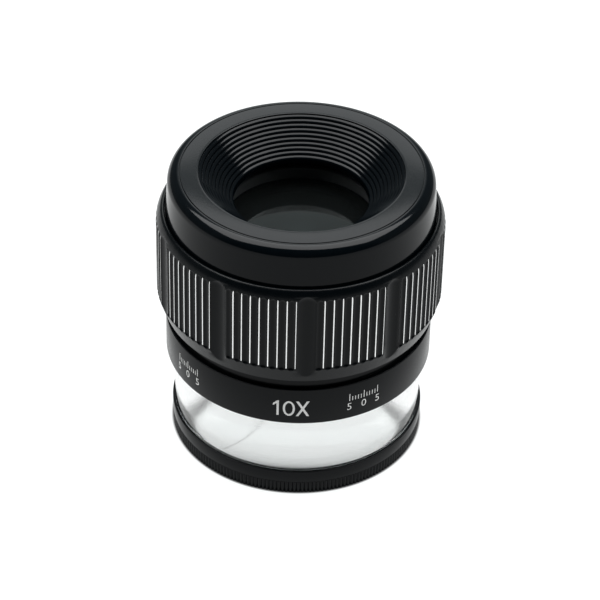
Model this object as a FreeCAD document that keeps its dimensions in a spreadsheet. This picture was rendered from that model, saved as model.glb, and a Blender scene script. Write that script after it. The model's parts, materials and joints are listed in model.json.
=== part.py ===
"""Focusing scale loupe with a clear stand.

The frame: +Z is the optical axis, up towards the eye; the origin is the centre of the base ring's
underside, which stands on the print or film; -Y is the front.  Lengths are in millimetres.

From the table up: a knurled base ring holds the scale glass and is screwed to a clear skirt; the skirt
is screwed into the body collar; the focus sleeve turns and climbs inside the collar and carries the
lens cell, the grip ring and the eyecup.
"""
import FreeCAD
import Part
import Sketcher

import math
import os

PARTS_FOLDER = "parts"

CELLS = {
    # Fits
    "running_gap": 0.05,          # radial play of a thread or bearing that turns
    "thread_gap": 0.03,           # radial play of a thread that stays tight
    "seating_gap": 0.02,          # play between faces that meet when a joint is home
    # Base ring and scale glass
    "base_radius": 22.4,
    "base_height": 4.75,
    "base_edge": 0.15,
    "film_opening": 17.0,
    "lip_height": 1.2,
    "glass_seat": 19.6,
    "base_thread": 20.9,
    "base_thread_floor": 2.9,
    "knurl_height": 2.3,
    "knurl_depth": 0.22,
    "knurl_half_width": 0.26,
    "glass_thickness": 1.6,
    "glass_lift": 0.1,            # the scale face stays this far off the print
    "washer_inner": 18.5,
    "washer_outer": 19.45,
    "washer_thickness": 0.45,
    # Clear skirt
    "skirt_radius": 22.0,
    "skirt_bore": 18.5,
    "skirt_shoulder": 16.7,
    "skirt_spigot": 21.2,
    "skirt_top": 20.5,
    # Body collar
    "band_radius": 23.45,
    "band_top": 24.1,
    "band_edge": 0.2,
    "neck_radius": 22.6,
    "neck_top": 39.5,
    "stop_height": 29.5,
    "stop_radius": 0.8,
    "stop_tip": 19.9,
    "stop_head": 22.4,
    # Focus sleeve
    "focus_travel": 2.0,          # each way from the rest position
    "sleeve_radius": 20.5,
    "sleeve_bore": 18.8,
    "sleeve_bottom": 23.0,
    "groove_floor": 19.7,
    "damper_bottom": 34.6,
    "damper_height": 1.2,
    "web_bottom": 34.0,
    "web_top": 38.0,
    "web_recess": 17.6,
    "flange_bottom": 41.8,
    "flange_top": 43.3,
    "flange_radius": 22.9,
    # Grip ring
    "grip_radius": 25.0,
    "grip_bore": 22.95,
    "grip_bottom": 26.5,
    "grip_bottom_radius": 23.95,
    "grip_bevel_top": 29.6,
    "grip_shoulder": 43.2,
    "shoulder_curve": 4.3,
    "shoulder_end": 45.68,
    "shoulder_end_radius": 24.2,
    "crown_radius": 23.95,
    "grip_top": 45.85,
    "grip_lip": 0.18,
    "rib_top": 45.0,
    "rib_bore": 19.9,
    "recess_radius": 23.5,
    "flute_cutter": 2.75,
    "flute_depth": 0.6,
    "flute_bottom": 25.7,
    "flute_top": 46.5,
    "first_flute": 3.35,          # degrees from the front towards +X
    "groove_cutter": 0.85,
    "groove_depth": 0.33,
    "groove_bottom": 29.3,
    "groove_top": 44.6,
    "first_crest": -0.7,          # degrees from the front, just left of the first flute
    # Grip screws
    "screw_circle": 21.25,
    "screw_radius": 0.8,
    "head_radius": 1.2,
    "head_height": 0.9,
    "screw_tip": 42.0,
    # Lens cell and its lock ring
    "cell_radius": 16.0,
    "cell_bore": 14.3,
    "cell_bottom": 20.0,
    "cell_top": 45.5,
    "cell_shoulder": 17.4,
    "cell_shoulder_top": 39.5,
    "lock_ring_bottom": 31.5,
    "lock_ring_radius": 18.5,
    # Lenses: two cemented doublets with their crowns facing each other
    "lens_radius": 14.2,
    "field_face": 22.5,
    "eye_edge": 42.3,
    "flint_middle": 1.3,
    "crown_edge": 0.7,
    "cement": 0.02,
    "cemented_curve": 30.0,
    "inner_curve": 34.0,
    "eye_curve": 120.0,
    "spacer_bore": 13.2,
    "spacer_gap": 0.04,
    # Retaining rings
    "field_ring_bottom": 20.6,
    "field_ring_bore": 11.0,
    "eye_ring_top": 44.8,
    "eye_ring_foot": 42.45,
    "eye_ring_bore": 12.9,
    "eye_ring_foot_bore": 13.2,
    "spanner_half_width": 0.6,
    "spanner_depth": 0.8,
    # Eyecup
    "eyecup_radius": 23.4,
    "eyecup_brow": 23.0,
    "eyecup_brow_height": 51.1,
    "eyecup_round": 2.08,
    "eyecup_rim": 20.95,
    "eyecup_top": 53.2,
    "eyecup_dome": 20.0,
    "mouth_radius": 17.6,
    "mouth_drop": 0.15,
    "throat_radius": 11.65,
    "throat_height": 47.5,
    "throat_lip": 0.75,
    "ridge_curve": 0.46,
    "hub_radius": 18.0,
    "hub_bottom": 43.6,
    "hub_top": 48.4,
    "shell_bore": 21.6,
    "shell_ceiling": 50.4,
}
KNURL_COUNT = 200
FLUTE_COUNT = 10
GROOVE_COUNT = 100                # round the whole grip, were it not for the flutes
GROOVES_LOST_TO_A_FLUTE = 2
RIDGE_COUNT = 10
SCREW_COUNT = 3
SPANNER_SLOT_COUNT = 2


# ---- Lengths tied to the sheet ----------------------------------------------------------------------

class Size:
    """A length known both as a number and as the sheet expression that gives it."""

    def __init__(self, value, text):
        self.value = value
        self.text = text

    def joined(self, sign, other, value):
        return Size(value, f"({self.text} {sign} {size(other).text})")

    def __add__(self, other):
        return self.joined("+", other, self.value + size(other).value)

    def __sub__(self, other):
        return self.joined("-", other, self.value - size(other).value)

    def __mul__(self, other):
        return self.joined("*", other, self.value * size(other).value)

    def __truediv__(self, other):
        return self.joined("/", other, self.value / size(other).value)

    def __neg__(self):
        return Size(-self.value, f"(-{self.text})")


def size(length):
    """Any length as a Size, so that a bare number can stand in an outline."""
    return length if isinstance(length, Size) else Size(float(length), str(length))


def square_root(area):
    return Size(math.sqrt(area.value), f"sqrt({area.text})")


def sine(degrees):
    return Size(math.sin(math.radians(degrees.value)), f"sin({degrees.text} * 1deg)")


def cosine(degrees):
    return Size(math.cos(math.radians(degrees.value)), f"cos({degrees.text} * 1deg)")


class Sheet:
    """The spreadsheet of driving dimensions, with each alias as an attribute that holds a Size."""

    def __init__(self, document):
        sheet = document.addObject("Spreadsheet::Sheet", "Sizes")
        for row, (alias, value) in enumerate(CELLS.items(), start=1):
            sheet.set(f"A{row}", alias)
            sheet.set(f"B{row}", str(value))
            sheet.setAlias(f"B{row}", alias)
            setattr(self, alias, Size(value, f"Sizes.{alias}"))


document = FreeCAD.newDocument("Loupe")
s = Sheet(document)
document.recompute()


# ---- Outlines and sketches --------------------------------------------------------------------------

class Arc:
    """A round stretch between two corners of an outline, whose centre lies on one side of the way."""

    def __init__(self, radius, centre_side="left"):
        self.radius = radius
        self.centre_side = centre_side

    def edge(self, start, end):
        """The sketch edge, which runs anticlockwise, and which of its two ends lies at the start."""
        half = (end - start) / 2
        to_left = FreeCAD.Vector(-half.y, half.x, 0).normalize()
        rise = math.sqrt(max(self.radius.value ** 2 - half.Length ** 2, 0))
        anticlockwise = self.centre_side == "left"
        centre = start + half + to_left * (rise if anticlockwise else -rise)
        circle = Part.Circle(centre, FreeCAD.Vector(0, 0, 1), self.radius.value)
        angles = [math.atan2(point.y - centre.y, point.x - centre.x) for point in (start, end)]
        if anticlockwise:
            return Part.ArcOfCircle(circle, angles[0], angles[1]), 1
        return Part.ArcOfCircle(circle, angles[1], angles[0]), 2


def bind(sketch, constraint, length):
    index = sketch.addConstraint(constraint)
    sketch.setExpression(f"Constraints[{index}]", length.text)


def fix(sketch, direction, side, end, length):
    """Ties one end of a side to the sheet's distance from the origin, or holds it on the axis."""
    axis = {"DistanceX": -2, "DistanceY": -1}[direction]
    if length.value == 0:
        sketch.addConstraint(Sketcher.Constraint("PointOnObject", side, end, axis))
    else:
        bind(sketch, Sketcher.Constraint(direction, -1, 1, side, end, length.value), length)


def draw(sketch, outline):
    """Draws a closed outline of (across, up) corners, in which an Arc rounds the way to the next one."""
    corners = []
    arcs = {}
    for item in outline:
        if isinstance(item, Arc):
            arcs[len(corners) - 1] = item
        else:
            corners.append([size(length) for length in item])
    first_ends = []
    for number, corner in enumerate(corners):
        following = corners[(number + 1) % len(corners)]
        start, end = [FreeCAD.Vector(x.value, y.value, 0) for x, y in (corner, following)]
        edge, first_end = Part.LineSegment(start, end), 1
        if number in arcs:
            edge, first_end = arcs[number].edge(start, end)
        sketch.addGeometry(edge, False)
        first_ends.append(first_end)
    for number, (across, up) in enumerate(corners):
        following = (number + 1) % len(corners)
        last_end = 3 - first_ends[number]
        joint = Sketcher.Constraint("Coincident", number, last_end, following, first_ends[following])
        sketch.addConstraint(joint)
        fix(sketch, "DistanceX", number, first_ends[number], across)
        fix(sketch, "DistanceY", number, first_ends[number], up)
        if number in arcs:
            radius = arcs[number].radius
            bind(sketch, Sketcher.Constraint("Radius", number, radius.value), radius)


def origin_item(body, role):
    return [item for item in body.Origin.OriginFeatures if item.Role == role][0]


def sketch_on(body, name, plane, outline, offset=(0, 0, 0), turn=0):
    """A sketch on a plane of the body, moved by an offset in the plane's own axes.

    The turn, in degrees, is about the sketch's upright axis.  On XZ_Plane the third axis is -Y, so an
    offset along it stands the sketch off towards the front.
    """
    sketch = body.newObject("Sketcher::SketchObject", name)
    sketch.AttachmentSupport = (origin_item(body, plane), [""])
    sketch.MapMode = "FlatFace"
    draw(sketch, outline)
    offset = [size(length) for length in offset]
    turn = size(turn)
    rotation = FreeCAD.Rotation(FreeCAD.Vector(0, 1, 0), turn.value)
    base = FreeCAD.Vector(*[length.value for length in offset])
    sketch.AttachmentOffset = FreeCAD.Placement(base, rotation)
    for axis, length in zip("xyz", offset):
        sketch.setExpression(f".AttachmentOffset.Base.{axis}", length.text)
    if turn.value:
        sketch.setExpression(".AttachmentOffset.Rotation.Angle", f"{turn.text} * 1deg")
    return sketch


# ---- Features ---------------------------------------------------------------------------------------

CUTS = ("PartDesign::Groove", "PartDesign::Pocket", "PartDesign::PolarPattern")


def revolved(body, name, sketch, kind="Revolution", axis="V_Axis"):
    """Turns a sketch about its own upright or level axis: a Revolution adds, a Groove cuts."""
    feature = body.newObject(f"PartDesign::{kind}", name)
    feature.Profile = (sketch, [""])
    feature.ReferenceAxis = (sketch, [axis])
    feature.Angle = 360
    body.Tip = feature
    return feature


def pocketed(body, name, outline, bottom, height):
    """Cuts upward from a height through an outline of (x, y) corners."""
    sketch = sketch_on(body, f"{name}_outline", "XY_Plane", outline, offset=(0, 0, bottom))
    pocket = body.newObject("PartDesign::Pocket", name)
    pocket.Profile = (sketch, [""])
    pocket.setExpression("Length", height.text)
    pocket.Reversed = True
    body.Tip = pocket
    return pocket


def patterned(body, feature, count):
    """Repeats a feature round the optical axis."""
    pattern = body.newObject("PartDesign::PolarPattern", f"{feature.Name}_pattern")
    pattern.Originals = [feature]
    pattern.Axis = (origin_item(body, "Z_Axis"), [""])
    pattern.Angle = 360
    pattern.Occurrences = count
    body.Tip = pattern


def turned(label, outline):
    """A sub-part turned about the optical axis from an outline of (radius, height) corners."""
    body = document.addObject("PartDesign::Body", label)
    revolved(body, f"{label}_turning", sketch_on(body, f"{label}_outline", "XZ_Plane", outline))
    return body


def rectangle(left, right, bottom, top):
    return [(left, bottom), (right, bottom), (right, top), (left, top)]


def hollow(body, name, cutter, depth, bottom, top, turn):
    """Cuts a round-ended hollow into the grip's outside, at a turn from the front towards +X."""
    low = bottom + cutter
    high = top - cutter
    outline = [(0, bottom), Arc(cutter), (cutter, low), (cutter, high), Arc(cutter), (0, top)]
    standoff = s.grip_radius + cutter - depth
    place = (standoff * sine(turn), 0, standoff * cosine(turn))
    sketch = sketch_on(body, f"{name}_outline", "XZ_Plane", outline, offset=place, turn=turn)
    patterned(body, revolved(body, name, sketch, kind="Groove"), FLUTE_COUNT)


def screw_holes(body, name, radius, bottom, top):
    """Cuts the ring of round holes for the grip screws between two heights."""
    sketch = sketch_on(body, f"{name}_outline", "XZ_Plane", rectangle(0, radius, bottom, top),
                       offset=(0, 0, s.screw_circle))
    patterned(body, revolved(body, name, sketch, kind="Groove"), SCREW_COUNT)


def spanner_slots(body, name, outer, bottom):
    """Cuts the notches that a pin spanner turns a retaining ring by."""
    outline = rectangle(0, outer, -s.spanner_half_width, s.spanner_half_width)
    patterned(body, pocketed(body, name, outline, bottom, s.spanner_depth), SPANNER_SLOT_COUNT)


# ---- Base ring, scale glass and washer --------------------------------------------------------------

def base_ring():
    crown = s.base_radius - s.base_edge
    body = turned("base_ring", [
        (s.film_opening, 0), (crown, 0), (s.base_radius, s.base_edge),
        (s.base_radius, s.base_height - s.base_edge), (crown, s.base_height),
        (s.base_thread, s.base_height), (s.base_thread, s.base_thread_floor),
        (s.glass_seat, s.base_thread_floor), (s.glass_seat, s.lip_height),
        (s.film_opening, s.lip_height)])
    root = s.base_radius - s.knurl_depth
    mouth = s.base_radius + s.knurl_depth
    half_mouth = s.knurl_half_width * 2
    notch = [(root, 0), (mouth, -half_mouth), (mouth, half_mouth)]
    patterned(body, pocketed(body, "knurl", notch, 0, s.knurl_height), KNURL_COUNT)


def reticle_glass():
    """A stepped disc whose lower face, with the scale, comes through the lip of the base ring."""
    scale_radius = s.film_opening - s.running_gap
    glass_radius = s.glass_seat - s.running_gap
    top = s.lip_height + s.glass_thickness
    turned("reticle_glass", [
        (0, s.glass_lift), (scale_radius, s.glass_lift), (scale_radius, s.lip_height),
        (glass_radius, s.lip_height), (glass_radius, top), (0, top)])


washer_bottom = s.lip_height + s.glass_thickness + s.running_gap
washer_top = washer_bottom + s.washer_thickness


def reticle_washer():
    turned("reticle_washer", rectangle(s.washer_inner, s.washer_outer, washer_bottom, washer_top))


# ---- Clear skirt, body collar and stop screw --------------------------------------------------------

def skirt():
    base_spigot = s.base_thread - s.running_gap
    bottom = washer_top + s.seating_gap
    shoulder = s.base_height + s.seating_gap
    turned("skirt", [
        (s.skirt_bore, bottom), (base_spigot, bottom), (base_spigot, shoulder),
        (s.skirt_radius, shoulder), (s.skirt_radius, s.skirt_shoulder),
        (s.skirt_spigot, s.skirt_shoulder), (s.skirt_spigot, s.skirt_top), (s.skirt_bore, s.skirt_top)])


def body_collar():
    """The band above the skirt, and the neck inside the grip in which the focus sleeve turns."""
    socket = s.skirt_spigot + s.thread_gap
    socket_top = s.skirt_top + s.thread_gap
    bore = s.sleeve_radius + s.running_gap
    crown = s.band_radius - s.band_edge
    body = turned("body_collar", [
        (socket, s.skirt_shoulder), (crown, s.skirt_shoulder),
        (s.band_radius, s.skirt_shoulder + s.band_edge), (s.band_radius, s.band_top - s.band_edge),
        (crown, s.band_top), (s.neck_radius, s.band_top), (s.neck_radius, s.neck_top),
        (bore, s.neck_top), (bore, socket_top), (socket, socket_top)])
    outline = rectangle(s.groove_floor, s.band_radius, 0, s.stop_radius + s.thread_gap)
    sketch = sketch_on(body, "stop_hole_outline", "XZ_Plane", outline, offset=(0, s.stop_height, 0))
    revolved(body, "stop_hole", sketch, kind="Groove", axis="H_Axis")


def stop_screw():
    """A grub screw through the neck; its tip runs in the sleeve's wide groove and ends the travel."""
    body = document.addObject("PartDesign::Body", "stop_screw")
    outline = rectangle(s.stop_tip, s.stop_head, 0, s.stop_radius)
    sketch = sketch_on(body, "stop_screw_outline", "XZ_Plane", outline, offset=(0, s.stop_height, 0))
    revolved(body, "stop_screw_turning", sketch, axis="H_Axis")


# ---- Focus sleeve, damping ring, grip ring and its screws -------------------------------------------

def focus_sleeve():
    stop_room = s.focus_travel + s.stop_radius + s.running_gap
    web_bore = s.cell_radius + s.thread_gap
    body = turned("focus_sleeve", [
        (s.sleeve_bore, s.sleeve_bottom), (s.sleeve_radius, s.sleeve_bottom),
        (s.sleeve_radius, s.stop_height - stop_room), (s.groove_floor, s.stop_height - stop_room),
        (s.groove_floor, s.stop_height + stop_room), (s.sleeve_radius, s.stop_height + stop_room),
        (s.sleeve_radius, s.damper_bottom), (s.groove_floor, s.damper_bottom),
        (s.groove_floor, s.damper_bottom + s.damper_height),
        (s.sleeve_radius, s.damper_bottom + s.damper_height), (s.sleeve_radius, s.flange_bottom),
        (s.flange_radius, s.flange_bottom), (s.flange_radius, s.flange_top),
        (s.web_recess, s.flange_top), (s.web_recess, s.web_top), (web_bore, s.web_top),
        (web_bore, s.web_bottom), (s.sleeve_bore, s.web_bottom)])
    screw_holes(body, "tapped_hole", s.screw_radius + s.thread_gap, s.flange_bottom, s.flange_top)


def damping_ring():
    """A plastic ring between sleeve and collar, which makes the focus drag evenly."""
    outline = rectangle(s.groove_floor + s.running_gap, s.sleeve_radius + s.seating_gap,
                        s.damper_bottom + s.running_gap, s.damper_bottom + s.damper_height - s.running_gap)
    turned("damping_ring", outline)


def grip_ring():
    """The turned grip, with wide flutes and, between them, narrow grooves that leave thin crests."""
    body = turned("grip_ring", [
        (s.grip_bore, s.grip_bottom), (s.grip_bottom_radius, s.grip_bottom),
        (s.grip_radius, s.grip_bevel_top), (s.grip_radius, s.grip_shoulder), Arc(s.shoulder_curve),
        (s.shoulder_end_radius, s.shoulder_end), (s.crown_radius, s.grip_top),
        (s.recess_radius + s.grip_lip, s.grip_top), (s.recess_radius, s.grip_top - s.grip_lip),
        (s.recess_radius, s.rib_top), (s.rib_bore, s.rib_top), (s.rib_bore, s.flange_top),
        (s.grip_bore, s.flange_top)])
    head_seat = s.rib_top - s.head_height
    screw_holes(body, "clearance_hole", s.screw_radius + s.running_gap, s.flange_top, s.rib_top)
    screw_holes(body, "counterbore", s.head_radius + s.running_gap, head_seat, s.rib_top)
    hollow(body, "flute", s.flute_cutter, s.flute_depth, s.flute_bottom, s.flute_top, s.first_flute)
    pitch = size(360) / GROOVE_COUNT
    for number in range(GROOVE_COUNT // FLUTE_COUNT - GROOVES_LOST_TO_A_FLUTE):
        turn = s.first_crest - pitch * (number + 0.5)
        hollow(body, f"groove_{number + 1}", s.groove_cutter, s.groove_depth,
               s.groove_bottom, s.groove_top, turn)


def grip_screws():
    """Three cheese-head screws that hold the grip ring down on the sleeve's flange."""
    body = document.addObject("PartDesign::Body", "grip_screws")
    head_seat = s.rib_top - s.head_height
    outline = [(0, s.screw_tip), (s.screw_radius, s.screw_tip), (s.screw_radius, head_seat),
               (s.head_radius, head_seat), (s.head_radius, s.rib_top), (0, s.rib_top)]
    sketch = sketch_on(body, "grip_screws_outline", "XZ_Plane", outline, offset=(0, 0, s.screw_circle))
    patterned(body, revolved(body, "grip_screws_turning", sketch), SCREW_COUNT)


# ---- Lens cell, lenses and rings --------------------------------------------------------------------

def lens_cell():
    turned("lens_cell", [
        (s.cell_bore, s.cell_bottom), (s.cell_radius, s.cell_bottom), (s.cell_radius, s.web_top),
        (s.cell_shoulder, s.web_top), (s.cell_shoulder, s.cell_shoulder_top),
        (s.cell_radius, s.cell_shoulder_top), (s.cell_radius, s.cell_top), (s.cell_bore, s.cell_top)])


def cell_lock_ring():
    bore = s.cell_radius + s.thread_gap
    outline = rectangle(bore, s.lock_ring_radius, s.lock_ring_bottom, s.web_bottom)
    body = turned("cell_lock_ring", outline)
    spanner_slots(body, "lock_slot", s.lock_ring_radius, s.lock_ring_bottom)


def sag(curve, radius):
    """How far a round face with this curve falls from its middle to a radius."""
    return curve - square_root(curve * curve - radius * radius)


cemented_sag = sag(s.cemented_curve, s.lens_radius)
inner_sag = sag(s.inner_curve, s.lens_radius)

field_cement = s.field_face + s.flint_middle
field_crown_foot = field_cement + s.cement
field_crown_edge = field_crown_foot + cemented_sag + s.crown_edge

eye_crest = s.eye_edge + sag(s.eye_curve, s.lens_radius)
eye_cement = eye_crest - s.flint_middle
eye_crown_head = eye_cement - s.cement
eye_crown_edge = eye_crown_head - cemented_sag - s.crown_edge


def field_flint_lens():
    turned("field_flint_lens", [
        (0, s.field_face), (s.lens_radius, s.field_face), (s.lens_radius, field_cement + cemented_sag),
        Arc(s.cemented_curve, "right"), (0, field_cement)])


def field_crown_lens():
    turned("field_crown_lens", [
        (0, field_crown_foot), Arc(s.cemented_curve),
        (s.lens_radius, field_crown_foot + cemented_sag), (s.lens_radius, field_crown_edge),
        Arc(s.inner_curve), (0, field_crown_edge + inner_sag)])


def eye_crown_lens():
    turned("eye_crown_lens", [
        (0, eye_crown_edge - inner_sag), Arc(s.inner_curve),
        (s.lens_radius, eye_crown_edge), (s.lens_radius, eye_crown_head - cemented_sag),
        Arc(s.cemented_curve), (0, eye_crown_head)])


def eye_flint_lens():
    turned("eye_flint_lens", [
        (0, eye_cement), Arc(s.cemented_curve, "right"), (s.lens_radius, eye_cement - cemented_sag),
        (s.lens_radius, s.eye_edge), Arc(s.eye_curve), (0, eye_crest)])


def lens_spacer():
    """A tube whose bore edges press on the two crowns."""
    rise = inner_sag - sag(s.inner_curve, s.spacer_bore) + s.spacer_gap
    turned("lens_spacer", rectangle(
        s.spacer_bore, s.cell_bore - s.thread_gap, field_crown_edge + rise, eye_crown_edge - rise))


def field_lens_ring():
    outer = s.cell_bore - s.thread_gap
    body = turned("field_lens_ring", rectangle(s.field_ring_bore, outer, s.field_ring_bottom, s.field_face))
    spanner_slots(body, "field_slot", outer, s.field_ring_bottom)


def eye_lens_ring():
    outer = s.cell_bore - s.thread_gap
    body = turned("eye_lens_ring", [
        (s.eye_ring_foot_bore, s.eye_ring_foot), (outer, s.eye_ring_foot),
        (outer, s.eye_ring_top), (s.eye_ring_bore, s.eye_ring_top)])
    spanner_slots(body, "eye_slot", outer, s.eye_ring_top - s.spanner_depth)


# ---- Eyecup -----------------------------------------------------------------------------------------

def eyecup():
    """A round-edged shell over a stepped, ridged cone, screwed by its hub to the top of the lens cell."""
    mouth_height = s.eyecup_top - s.mouth_drop
    step_in = (s.mouth_radius - s.throat_radius) / RIDGE_COUNT
    step_down = (mouth_height - s.throat_height) / RIDGE_COUNT
    ridges = []
    for number in range(RIDGE_COUNT):
        ridges.append((s.mouth_radius - step_in * number, mouth_height - step_down * number))
        ridges.append(Arc(s.ridge_curve))
    hub_bore = s.cell_radius + s.thread_gap
    hub_ceiling = s.throat_height - s.throat_lip
    turned("eyecup", [
        (s.shell_bore, s.rib_top), (s.eyecup_radius, s.rib_top),
        (s.eyecup_brow, s.eyecup_brow_height), Arc(s.eyecup_round),
        (s.eyecup_rim, s.eyecup_top), Arc(s.eyecup_dome), (s.mouth_radius, s.eyecup_top),
        *ridges, (s.throat_radius, s.throat_height), (s.throat_radius, hub_ceiling),
        (hub_bore, hub_ceiling), (hub_bore, s.hub_bottom), (s.hub_radius, s.hub_bottom),
        (s.hub_radius, s.hub_top), (s.shell_bore, s.shell_ceiling)])


# ---- Build, check and write -------------------------------------------------------------------------

for make in (base_ring, reticle_glass, reticle_washer, skirt, body_collar, stop_screw, focus_sleeve,
             damping_ring, grip_ring, grip_screws, lens_cell, cell_lock_ring, field_flint_lens,
             field_crown_lens, lens_spacer, eye_crown_lens, eye_flint_lens, field_lens_ring,
             eye_lens_ring, eyecup):
    make()
document.recompute()

for item in document.Objects:
    if "Invalid" in item.State or "Error" in item.State:
        raise RuntimeError(f"{item.Name} failed: {item.State}")
    if item.TypeId in CUTS and item.Name != "grip_screws_turning_pattern":
        if item.Shape.Volume >= item.BaseFeature.Shape.Volume:
            raise RuntimeError(f"{item.Name} cuts nothing")

os.makedirs(PARTS_FOLDER, exist_ok=True)
for body in document.Objects:
    if body.TypeId != "PartDesign::Body":
        continue
    if body.Shape.isNull() or not body.Shape.isValid():
        raise RuntimeError(f"{body.Label} has no valid shape")
    body.Shape.exportStep(f"{PARTS_FOLDER}/{body.Label}.step")
    print(body.Label, len(body.Shape.Solids), "solid(s),", round(body.Shape.Volume, 1), "mm3")
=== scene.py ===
"""Looks of the focusing scale loupe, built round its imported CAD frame."""
import json
import math
import random

import bmesh
import bpy
import numpy as np
from mathutils import Matrix, Vector

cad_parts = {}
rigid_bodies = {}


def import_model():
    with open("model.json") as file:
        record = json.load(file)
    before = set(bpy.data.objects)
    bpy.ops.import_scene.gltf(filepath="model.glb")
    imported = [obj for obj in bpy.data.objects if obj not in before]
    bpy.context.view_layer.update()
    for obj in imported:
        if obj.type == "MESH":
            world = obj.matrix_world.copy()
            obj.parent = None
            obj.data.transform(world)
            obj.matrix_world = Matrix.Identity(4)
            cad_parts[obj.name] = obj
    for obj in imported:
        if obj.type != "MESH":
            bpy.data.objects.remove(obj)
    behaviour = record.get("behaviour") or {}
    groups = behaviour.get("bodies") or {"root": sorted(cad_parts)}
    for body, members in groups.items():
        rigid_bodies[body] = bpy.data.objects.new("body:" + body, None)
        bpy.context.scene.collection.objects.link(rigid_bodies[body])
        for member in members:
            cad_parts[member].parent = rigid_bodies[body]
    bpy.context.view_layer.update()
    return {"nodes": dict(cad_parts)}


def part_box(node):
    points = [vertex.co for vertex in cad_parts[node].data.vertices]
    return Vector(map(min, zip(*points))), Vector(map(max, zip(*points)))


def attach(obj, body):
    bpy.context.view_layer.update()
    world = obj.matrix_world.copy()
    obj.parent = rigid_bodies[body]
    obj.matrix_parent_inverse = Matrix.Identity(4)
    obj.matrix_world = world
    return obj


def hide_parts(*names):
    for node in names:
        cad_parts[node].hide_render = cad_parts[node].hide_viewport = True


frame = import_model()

MM = 0.001
FINE_SEGMENTS = 320
SMALL_SEGMENTS = 192
SHARP_ANGLE = math.radians(32)
WELD = 1e-8                       # metres
GRIP_SEED = 7


# ---- Places read from the frame, in millimetres ------------------------------------------------------

def node_radius(node):
    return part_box(node)[1].x / MM


def node_bottom(node):
    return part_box(node)[0].z / MM


def node_top(node):
    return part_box(node)[1].z / MM


# ---- Mesh building -----------------------------------------------------------------------------------

def rounded(corners, steps=4):
    """The points of a closed outline of (radius, height, fillet) corners, with its fillets drawn."""
    points = []
    count = len(corners)
    for number, (radius, height, fillet) in enumerate(corners):
        here = Vector((radius, height))
        before = Vector(corners[number - 1][:2]) - here
        after = Vector(corners[(number + 1) % count][:2]) - here
        if not fillet or radius < 1e-6:
            points.append(tuple(here))
            continue
        before.normalize()
        after.normalize()
        half_angle = before.angle(after) / 2
        reach = fillet / math.tan(half_angle)
        centre = here + (before + after).normalized() * fillet / math.sin(half_angle)
        start = here + before * reach - centre
        end = here + after * reach - centre
        for step in range(steps + 1):
            direction = start.slerp(end, step / steps, start)
            points.append(tuple(centre + direction.normalized() * fillet))
    return points


def arc(start, end, radius, steps):
    """Points of a round stretch that turns left on its way from start to end."""
    start, end = Vector(start), Vector(end)
    half = (end - start) / 2
    to_left = Vector((-half.y, half.x)).normalized()
    centre = start + half + to_left * math.sqrt(radius ** 2 - half.length ** 2)
    first = math.atan2(start.y - centre.y, start.x - centre.x)
    turn = 2 * math.asin(half.length / radius)
    return [(centre.x + radius * math.cos(first + turn * step / steps),
             centre.y + radius * math.sin(first + turn * step / steps)) for step in range(steps + 1)]


def skin(name, rings, body, material):
    """A surface through rings of points, in millimetres; each ring closes, and the last meets the first."""
    rings = np.array(rings, float) * MM
    rows, columns = rings.shape[:2]
    low = np.arange(rows * columns).reshape(rows, columns)
    high = np.roll(low, -1, axis=0)
    faces = np.stack([low, np.roll(low, -1, axis=1), np.roll(high, -1, axis=1), high], axis=-1)
    mesh = bpy.data.meshes.new(name)
    mesh.from_pydata(rings.reshape(-1, 3).tolist(), [], faces.reshape(-1, 4).tolist())
    return finished(name, mesh, body, material)


def finished(name, mesh, body, material):
    """Welds a mesh, shades it smooth up to its sharp edges, and makes it a piece that rides on a body."""
    work = bmesh.new()
    work.from_mesh(mesh)
    bmesh.ops.remove_doubles(work, verts=work.verts, dist=WELD)
    bmesh.ops.dissolve_degenerate(work, edges=work.edges, dist=WELD)
    bmesh.ops.recalc_face_normals(work, faces=work.faces)
    work.to_mesh(mesh)
    work.free()
    mesh.shade_smooth()
    mesh.set_sharp_from_angle(angle=SHARP_ANGLE)
    mesh.materials.append(material)
    piece = bpy.data.objects.new(name, mesh)
    bpy.context.scene.collection.objects.link(piece)
    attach(piece, body)
    return piece


def circle_ring(radius, height, columns):
    angles = np.arange(columns) * 2 * math.pi / columns
    return polar_ring(angles, radius, height)


def polar_ring(angles, radii, height):
    """Points round the optical axis; an angle of zero is the front, and it grows towards +X."""
    return np.stack([radii * np.sin(angles), -radii * np.cos(angles), height + 0 * angles], axis=-1)


def lathe(name, outline, body, material, columns):
    """A turned piece from a closed outline of (radius, height) points."""
    return skin(name, [circle_ring(radius, height, columns) for radius, height in outline],
                body, material)


def face_arc(curve, edge_radius, middle_height, rise, steps=24):
    """Points of a lens face from its edge in to the axis; rise is +1 for a face that domes upward."""
    radii = np.linspace(edge_radius, 0, steps + 1)
    heights = middle_height - rise * (curve - np.sqrt(curve ** 2 - radii ** 2))
    return list(zip(radii, heights))


# ---- Materials ---------------------------------------------------------------------------------------

# The Map Range node's sockets for vectors share their names with those for numbers, so they go by place
VECTOR_TO_MIN = 9
VECTOR_TO_MAX = 10


def new_material(name, **values):
    """A material with one Principled shader, its sockets set by name, and the tools to add to it."""
    material = bpy.data.materials.new(name)
    material.use_nodes = True
    shader = material.node_tree.nodes["Principled BSDF"]
    for socket, value in values.items():
        shader.inputs[socket.replace("_", " ")].default_value = value
    return material, material.node_tree, shader


def colour(red, green, blue):
    return (red, green, blue, 1.0)


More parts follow.
